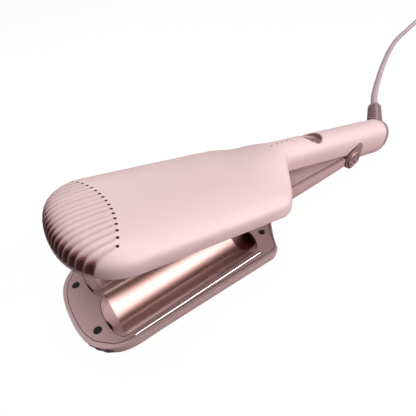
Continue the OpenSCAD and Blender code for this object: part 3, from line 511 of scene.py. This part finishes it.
# The points start 30 mm over the jaw plane, and each falls square to it onto the skin
above_tip = from_arm(Vector((0, 0, 30)), UPPER)
run = (from_arm(Vector((1, 0, 30)), UPPER) - above_tip).normalized()
fall = (from_arm(Vector((0, 0, 29)), UPPER) - above_tip).normalized()
x = tree.math("ADD", above_tip.x, tree.math("MULTIPLY", along, run.x))
z = tree.math("ADD", above_tip.z, tree.math("MULTIPLY", along, run.z))
over = tree.add("ShaderNodeCombineXYZ", {}, {"X": x, "Y": across, "Z": z})
laid = tree.add("GeometryNodeSetPosition", {}, {"Geometry": points, "Position": over})
target = tree.add("GeometryNodeObjectInfo", {}, {"Object": skin}, output="Geometry")
cast = tree.add("GeometryNodeRaycast", {}, {"Target Geometry": target, "Source Position": over,
                                            "Ray Direction": tuple(fall), "Ray Length": 0.05}).node
placed = tree.add("GeometryNodeSetPosition", {}, {"Geometry": laid, "Position": cast.outputs["Hit Position"]})
upright = tree.add("FunctionNodeAlignRotationToVector", {"axis": "Z"}, {"Vector": cast.outputs["Hit Normal"]})
ball = tree.add("GeometryNodeMeshUVSphere", {}, {"Segments": 16, "Rings": 8, "Radius": size})
flat = tree.add("GeometryNodeTransform", {}, {"Geometry": ball, "Scale": (1, 1, 0.22)})
dots = tree.add("GeometryNodeInstanceOnPoints", {}, {"Points": placed, "Instance": flat, "Rotation": upright})
tree.build("groove_starts", dots, dimple.material, "upper_arm", "shell")


# Inner frames. Moulded panels in a slightly deeper pink that close each arm, hold its plate and take its
# screws. Along the handle they are painted paler as painted light, and the bowl behind the lower plate is
# painted a deep wine colour as painted shade.
BOWL_SHADE_WINE = (0.16, 0.03, 0.036)
HANDLE_LIT_PINK = (0.84, 0.64, 0.645)
panel = Finish("inner", (0.60, 0.39, 0.405), 0.42, Specular_IOR_Level=0.45)
x, y, z = [panel.add("SeparateXYZ", {}, {0: panel.place()}, output=axis) for axis in range(3)]
at_jaws = panel.blend(panel.noise(30, 3), (0.58, 0.375, 0.39), (0.63, 0.415, 0.43))
# Painted light: the panel is painted paler along the handle
handle_lit = panel.blend(panel.step(x, 0.05, 0.075), at_jaws, HANDLE_LIT_PINK)
# Painted shade in the bowl, which lies below the jaw face, past the plate's end
bowl_shade = panel.step(x, 0.034, 0.036) * panel.step(x, 0.049, 0.052, 1, 0)
bowl_shade = bowl_shade * panel.step(y.math("ABSOLUTE", y), 0.029, 0.031, 1, 0)
bowl_shade = bowl_shade * panel.step(z, 0.0162, 0.0175, 1, 0)
panel.set("Base Color", panel.blend(bowl_shade, handle_lit, BOWL_SHADE_WINE))
panel.bump(panel.noise(2400, 2), 0.000012)
upper_panel = moulded("upper_panel", "upper_frame", "upper_arm", 22)
lower_panel = moulded("lower_panel", "lower_frame", "lower_arm", 22)
panel.put(upper_panel, lower_panel)


# Parting lines. A hairline gap runs round each panel, its plate, rails and screw wells, where the
# mouldings meet. Dark tubes along the sharp edges of the panel's jaw face stand for the shade in it, as
# painted shade.
parting = Finish("parting_line", (0.11, 0.045, 0.048), 0.6, Specular_IOR_Level=0.2)
parting.set("Roughness", 0.5 + 0.2 * parting.noise(700))
JAW_FACE = 0.25
for name, panel_piece, arm, body in (("upper_parting", upper_panel, UPPER, "upper_arm"),
                                     ("lower_parting", lower_panel, LOWER, "lower_arm")):
    tree = Tree(name)
    line_r = tree.ask("Radius", "Float", 0.00017)
    sharp = tree.ask("Sharpest fold", "Float", 0.6)
    handle = tree.ask("Handle starts", "Float", 136.5)
    near_face = tree.ask("Face depth", "Float", 0.0003)
    moulding = tree.ask("Panel", "Object", panel_piece)
    origin = from_arm(Vector((0, 0, 0)), arm)
    outward = (from_arm(Vector((0, 0, 1)), arm) - origin).normalized()
    run = (from_arm(Vector((1, 0, 0)), arm) - origin).normalized()
    got = tree.add("GeometryNodeObjectInfo", {}, {"Object": moulding}, output="Geometry")
    on_face = tuple(from_arm(Vector((0, 0, JAW_FACE)), arm))
    where = tree.vector("SUBTRACT", tree.add("GeometryNodeInputPosition"), on_face)
    depth = tree.vector("DOT_PRODUCT", where, tuple(outward), "Value")
    along = tree.vector("DOT_PRODUCT", where, tuple(run * 1000), "Value")
    fold = tree.add("GeometryNodeInputMeshEdgeAngle")
    at_face = tree.math("LESS_THAN", depth, near_face)
    region = tree.math("MAXIMUM", at_face, tree.math("GREATER_THAN", along, handle))
    chosen = tree.math("MULTIPLY", region, tree.math("GREATER_THAN", fold, sharp))
    line = tree.add("GeometryNodeMeshToCurve", {}, {"Mesh": got, "Selection": chosen})
    ring = tree.add("GeometryNodeCurvePrimitiveCircle", {"mode": "RADIUS"},
                    {"Resolution": 6, "Radius": line_r})
    tube = tree.add("GeometryNodeCurveToMesh", {}, {"Curve": line, "Profile Curve": ring, "Fill Caps": True})
    tree.build(name, tube, parting.material, body, "inner")


# Wave plates. Pressed aluminium sheets with a rose-gold ceramic coat, brushed along the jaws and let into
# the panels. Two bright metal rails run beside the lower one.
plate = Finish("rose_metal", (0.56, 0.36, 0.33), 0.4, 0.88)
streaks = plate.noise(1.0, 3, plate.place((20, 2200, 2200)))
plate.set("Base Color", plate.blend(streaks, (0.565, 0.36, 0.33), (0.6, 0.4, 0.37)))
plate.set("Roughness", 0.36 + 0.08 * streaks)
plate.bump(streaks + plate.noise(1500, 2), 0.0000025)
upper_wave = moulded("upper_wave", "upper_plate", "upper_arm", 38)
lower_wave = moulded("lower_wave", "lower_plate", "lower_arm", 38)
plate.put(upper_wave, lower_wave)

rail = Finish("polished_strip", (0.86, 0.74, 0.72), 0.12, 1.0)
rail.set("Roughness", 0.1 + 0.04 * rail.noise(400))
rail.put(node["lower_edge_rails"])


# Screws. Black self-tapping steel screws, four to an arm. They are sunk in wells of the inner frames and
# hold these to the covers.
black_screw = Finish("black_screw", (0.012, 0.011, 0.012), 0.35, 0.6)
black_screw.set("Roughness", 0.3 + 0.15 * black_screw.noise(900))
black_screw.put(node["upper_screws"], node["lower_screws"])


# Bumpers. Black rubber buttons pressed over the screw wells, four to an arm, which keep the jaws apart. Their
# black also stands for the shade in the deep wells, as painted shade. Where the shut jaws leave no room, over
# the upper arm's two rear wells, black plugs sit inside the wells as painted shade.
def bands(count, levels):
    """The faces between rings of count points each, one ring to a level."""
    pairs = [(i, (i + 1) % count) for i in range(count)]
    starts = range(0, (levels - 1) * count, count)
    return [(low + i, low + j, low + count + j, low + count + i) for low in starts for i, j in pairs]


def turned(name, profile, origin, axis, steps=32):
    """A lathe-turned mesh: pairs of radius and height in millimetres round an axis through origin."""
    upright = axis.to_track_quat("Z", "Y").to_matrix()
    points = [upright @ Vector((r * math.cos(a), r * math.sin(a), z)) / 1000 + origin
              for r, z in profile for a in (math.tau * i / steps for i in range(steps))]
    faces = bands(steps, len(profile))
    ends = [tuple(reversed(range(steps))), tuple((len(profile) - 1) * steps + i for i in range(steps))]
    mesh = bpy.data.meshes.new(name)
    mesh.from_pydata(points, [], faces + ends)
    mesh.shade_smooth()
    mesh.set_sharp_from_angle(angle=math.radians(50))
    made = bpy.data.objects.new(name, mesh)
    scene.collection.objects.link(made)
    return made


FRONT_H, REAR_H = 0.2, 0.06
REAR_WELLS = ((133.2, -25), (133.2, 25))
SUNK_PLUG = ((1.95, -0.8), (1.95, -0.25), (1.75, -0.12), (0.1, -0.1))
bumper = Finish("bumper_rubber", (0.010, 0.008, 0.009), 0.6, Specular_IOR_Level=0.25)
bumper.set("Roughness", 0.55 + 0.2 * bumper.noise(1200))
for arm, side, body, tip_x in ((UPPER, "upper", "upper_arm", 8.2), (LOWER, "lower", "lower_arm", 3.4)):
    inward = from_arm(Vector((0, 0, 0)), arm) - from_arm(Vector((0, 0, 1)), arm)
    for number, (x, y) in enumerate(((tip_x, -21.5), (tip_x, 21.5), *REAR_WELLS)):
        tall = FRONT_H if number < 2 else REAR_H
        button = ((2.7, 0.01), (2.7, tall * 0.5), (2.5, tall * 0.85), (1.6, tall), (0.1, tall))
        if arm == UPPER and (x, y) in REAR_WELLS:
            button = SUNK_PLUG
        pad = turned(f"{side}_bumper_{number + 1}", button, from_arm(Vector((x, y, JAW_FACE)), arm), inward)
        bumper.put(pad)
        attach(pad, body)


# Taupe trim. The end cap, the hinge ears, the lock knob, the button's bezel and the plug are moulded in a
# satin taupe plastic. The ears are pressed over the hinge pin, and the cap is snapped on the handle.
taupe = Finish("taupe", (0.36, 0.24, 0.24), 0.33, 0.25)
taupe.set("Base Color", taupe.blend(taupe.noise(40, 3), (0.34, 0.225, 0.225), (0.40, 0.27, 0.27)))
taupe.set("Roughness", 0.28 + 0.12 * taupe.noise(1200))
taupe.bump(taupe.noise(2200), 0.00001)
cap = moulded("tail_cap", "end_cap", "upper_arm", 35)
taupe.put(cap, node["near_hinge_ear"], node["far_hinge_ear"], node["lock_knob"], node["button_bezel"],
          node["plug_body"])


# Lock knob. A raised grip in a shallow S, moulded onto the knob's face, with the metal pin's end beside
# it. The knob turns on its stem in the lower arm.
KNOB = Vector((171.5, -15.3, 22))
GRIP_HALF_LEN, GRIP_HALF_W, GRIP_BOW = 5.0, 0.75, 0.9
GRIP_LEAN = Matrix.Rotation(math.radians(28), 2)
# How much of its width the grip keeps at each height
GRIP_LEVELS = ((1.0, 0.0), (1.0, 0.42), (0.82, 0.62))
knob_grip = Finish("grip", (0.48, 0.33, 0.33), 0.3, 0.3)
knob_grip.set("Base Color", knob_grip.blend(knob_grip.noise(60, 3), (0.46, 0.31, 0.31), (0.54, 0.38, 0.38)))
centre_line = [(-GRIP_BOW * math.sin(math.pi * t), GRIP_HALF_LEN * t) for t in (i / 8 - 1 for i in range(17))]
outline = []
for line in (centre_line, centre_line[::-1]):
    for k, (u, w) in enumerate(line):
        ahead = (Vector(line[min(16, k + 1)]) - Vector(line[max(0, k - 1)])).normalized()
        half = GRIP_HALF_W * math.sqrt(max(0.1, 1 - (w / GRIP_HALF_LEN) ** 6))
        outline.append(GRIP_LEAN @ (Vector((u, w)) + half * Vector((ahead.y, -ahead.x))))
middle = [GRIP_LEAN @ Vector(c) for c in centre_line + centre_line[::-1]]
grip_points = [Vector((KNOB.x + m.x + (p.x - m.x) * f, KNOB.y - up, KNOB.z + m.y + (p.y - m.y) * f)) / 1000
               for f, up in GRIP_LEVELS for p, m in zip(outline, middle)]
n = len(outline)
top = 2 * n
grip_faces = bands(n, len(GRIP_LEVELS))
grip_faces += [(top + i, top + i + 1, top + n - 2 - i, top + n - 1 - i) for i in range(16)]
grip_faces += [(i + 1, i, n - 1 - i, n - 2 - i) for i in range(16)]
grip_mesh = bpy.data.meshes.new("knob_grip")
grip_mesh.from_pydata(grip_points, [], grip_faces)
shape = bmesh.new()
shape.from_mesh(grip_mesh)
bmesh.ops.recalc_face_normals(shape, faces=shape.faces)
shape.to_mesh(grip_mesh)
shape.free()
grip_mesh.shade_smooth()
grip_mesh.set_sharp_from_angle(angle=math.radians(40))
grip = bpy.data.objects.new("knob_grip", grip_mesh)
scene.collection.objects.link(grip)
pin_dot = turned("knob_pin", ((0.75, 0), (0.75, 0.1), (0.45, 0.2), (0.05, 0.22)),
                 Vector((KNOB.x - 3.4, KNOB.y, KNOB.z - 3.2)) / 1000, Vector((0, -1, 0)), 20)
for piece, finish in ((grip, knob_grip), (pin_dot, black_screw)):
    finish.put(piece)
    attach(piece, "lock_knob")


# Power button. A metallised plastic button that slides in its bezel, on the board's switch. Its face is
# turned in fine rings round its middle.
RING_PITCH = math.tau / 5200
button_foot, button_top = [from_arm(Vector((204, 0, z)), UPPER) for z in (24, 25)]
face_rings = Finish("button_face", (0.50, 0.33, 0.32), 0.26, 0.5)
offset = face_rings.add("VectorMath", {"operation": "SUBTRACT"},
                        {0: face_rings.place(), 1: tuple(button_foot)})
up_it = tuple((button_top - button_foot).normalized())
along_axis = face_rings.add("VectorMath", {"operation": "DOT_PRODUCT"}, {0: offset, 1: up_it}, output=1)
from_foot = face_rings.add("VectorMath", {"operation": "LENGTH"}, {0: offset}, output=1)
turn = (from_foot * from_foot - along_axis * along_axis) ** 0.5 * (math.tau / RING_PITCH)
rings = turn.math("SINE", turn)
# The rings' dark and light bands in the base colour are painted shade and painted highlight
face_rings.set("Base Color", face_rings.blend(0.5 + 0.5 * rings, (0.22, 0.13, 0.125), (0.66, 0.46, 0.44)))
face_rings.bump(rings, 0.00008)
face_rings.put(node["power_button"])


# Strain relief. A slotted sleeve of soft taupe rubber, moulded onto the cord. Its ball turns in the end
# cap's socket.
rubber = Finish("taupe_rubber", (0.36, 0.23, 0.25), 0.5)
rubber.set("Base Color", rubber.blend(rubber.noise(50, 3), (0.34, 0.215, 0.235), (0.40, 0.265, 0.285)))
rubber.bump(rubber.noise(1600), 0.00002)
rubber.put(node["strain_relief"])


# Hidden working parts. Steel clamps, fuse, pin and spring, ceramic heaters and sensors, the clear light
# guide, and the board with its switch. The clamps hold the heaters to the plates, and the board rests
# on posts in the handle. The plug's pins are steel too.
steel = Finish("steel", (0.55, 0.55, 0.56), 0.3, 1.0)
steel.set("Roughness", 0.22 + 0.2 * steel.noise(1.0, 2, steel.place((60, 900, 900))))
steel.put(*[node[n] for n in ("upper_heater_clamps", "lower_heater_clamp", "thermal_fuse", "hinge_pin",
                              "torsion_spring", "plug_pins")])
ceramic = Finish("ceramic", (0.82, 0.78, 0.70), 0.6)
ceramic.set("Base Color", ceramic.blend(ceramic.noise(300, 4), (0.78, 0.74, 0.66), (0.86, 0.82, 0.75)))
ceramic.put(*[node[n] for n in ("upper_heaters", "lower_heater", "upper_thermistor", "lower_thermistor")])
lens = Finish("clear_plastic", (0.26, 0.15, 0.15), 0.3)
lens.set("Roughness", 0.2 + 0.1 * lens.noise(900))
lens.put(node["light_guide"])
board = Finish("board", (0.05, 0.16, 0.08), 0.4)
board.set("Base Color", board.blend(board.noise(500, 4), (0.04, 0.14, 0.07), (0.07, 0.2, 0.1)))
board.put(node["control_board"])
black = Finish("black_plastic", (0.02, 0.02, 0.02), 0.4)
black.set("Roughness", 0.35 + 0.1 * black.noise(900))
black.put(node["tact_switch"])


# Studio. A white paper floor and backdrop. Four soft area lamps stand round the object, and a soft box
# in the sky is seen by mirror-like faces only.
FLOOR_HALF, FLOOR_Z = 6, -0.0003
FLOOR_GLOW = 1.015
FLOOR_GLOW_SHARE = 0.96
FLOOR_IN_MIRRORS = 0.22
corners = [(a * FLOOR_HALF, b * FLOOR_HALF, FLOOR_Z) for a, b in ((-1, -1), (1, -1), (1, 1), (-1, 1))]
floor_mesh = bpy.data.meshes.new("floor")
floor_mesh.from_pydata(corners, [], [(0, 1, 2, 3)])
floor = bpy.data.objects.new("floor", floor_mesh)
scene.collection.objects.link(floor)
paper = Finish("studio_floor", (0.82, 0.82, 0.82), 0.9)
glow = paper.add("Emission", {}, {"Color": (1, 1, 1, 1), "Strength": FLOOR_GLOW})
dim = paper.add("BsdfDiffuse", {}, {"Color": (0.24, 0.11, 0.11, 1)})
seen = paper.add("LightPath", output="Is Camera Ray")
mirrored = paper.add("LightPath", output="Is Glossy Ray")
passed = paper.add("LightPath", output="Is Transmission Ray")
# The camera sees it white but for the object's shadow, and the object gets only a weak glow from it
lit = paper.add("MixShader", {}, {0: FLOOR_GLOW_SHARE, 1: Wire(paper, paper.surface.outputs[0]), 2: glow})
direct = seen.math("MAXIMUM", seen, passed)
bounced = paper.add("MixShader", {}, {0: mirrored * FLOOR_IN_MIRRORS, 1: dim, 2: glow})
mix = paper.add("MixShader", {}, {0: direct, 1: bounced, 2: lit})
paper.feed(paper.tree.nodes["Material Output"].inputs["Surface"], mix)
paper.put(floor)

world = bpy.data.worlds.new("studio")
scene.world = world
world.use_nodes = True
sky = world.node_tree
back = sky.nodes["Background"]


def sky_node(kind, settings, inputs):
    made = sky.nodes.new("ShaderNode" + kind)
    for key, value in settings.items():
        setattr(made, key, value)
    for key, value in inputs.items():
        if isinstance(value, bpy.types.NodeSocket):
            sky.links.new(value, made.inputs[key])
        else:
            made.inputs[key].default_value = value
    return made


FILL = 0.04
SOFT_BOX_AT = (0.36, -0.64, 0.68)
SOFT_BOX_POWER = 3.6
BOUNCE_TINT = (1, 0.6, 0.6, 1)
ray = sky_node("LightPath", {}, {})
direct = sky_node("Math", {"operation": "MAXIMUM"}, {
    0: ray.outputs["Is Camera Ray"], 1: ray.outputs["Is Transmission Ray"]})
way = sky_node("TexCoord", {}, {}).outputs["Generated"]
height = sky_node("SeparateXYZ", {}, {0: way}).outputs["Z"]
fill = sky_node("MapRange", {}, {
    "Value": height, "From Min": -0.1, "From Max": 0.9, "To Min": 0.0, "To Max": FILL})
near = sky_node("VectorMath", {"operation": "DOT_PRODUCT"}, {0: way, 1: SOFT_BOX_AT}).outputs["Value"]
soft_box = sky_node("MapRange", {"interpolation_type": "SMOOTHSTEP"}, {
    "Value": near, "From Min": 0.55, "From Max": 0.85, "To Min": 0.0, "To Max": SOFT_BOX_POWER})
gleam = sky_node("Math", {"operation": "MULTIPLY"}, {0: soft_box.outputs[0], 1: ray.outputs["Is Glossy Ray"]})
around = sky_node("Math", {"operation": "ADD"}, {0: fill.outputs[0], 1: gleam.outputs[0]})
level = sky_node("Mix", {"data_type": "FLOAT"}, {0: direct.outputs[0], 2: around.outputs[0], 3: 1.0})
warm = sky_node("Mix", {"data_type": "RGBA"}, {
    0: ray.outputs["Is Diffuse Ray"], 6: (1, 1, 1, 1), 7: BOUNCE_TINT})
sky.links.new(warm.outputs[2], back.inputs["Color"])
sky.links.new(level.outputs[0], back.inputs["Strength"])


def lamp(name, place, target, size, power):
    data = bpy.data.lights.new(name, "AREA")
    data.shape = "RECTANGLE"
    data.size, data.size_y = size
    data.energy = power
    made = bpy.data.objects.new(name, data)
    made.location = place
    made.rotation_euler = (Vector(target) - Vector(place)).to_track_quat("-Z", "Y").to_euler()
    scene.collection.objects.link(made)


lamp("key", (0.45, -0.75, 0.62), (0.08, 0, 0.03), (0.7, 0.5), 6)
lamp("top", (0.1, 0.1, 1.1), (0.08, 0, 0.03), (0.7, 0.5), 6.8)
lamp("low", (0.8, -0.75, 0.2), (0.1, 0, 0.03), (0.7, 0.3), 3)
lamp("far", (0.1, 0.95, 0.5), (0.05, 0, 0.03), (0.8, 0.4), 1.8)
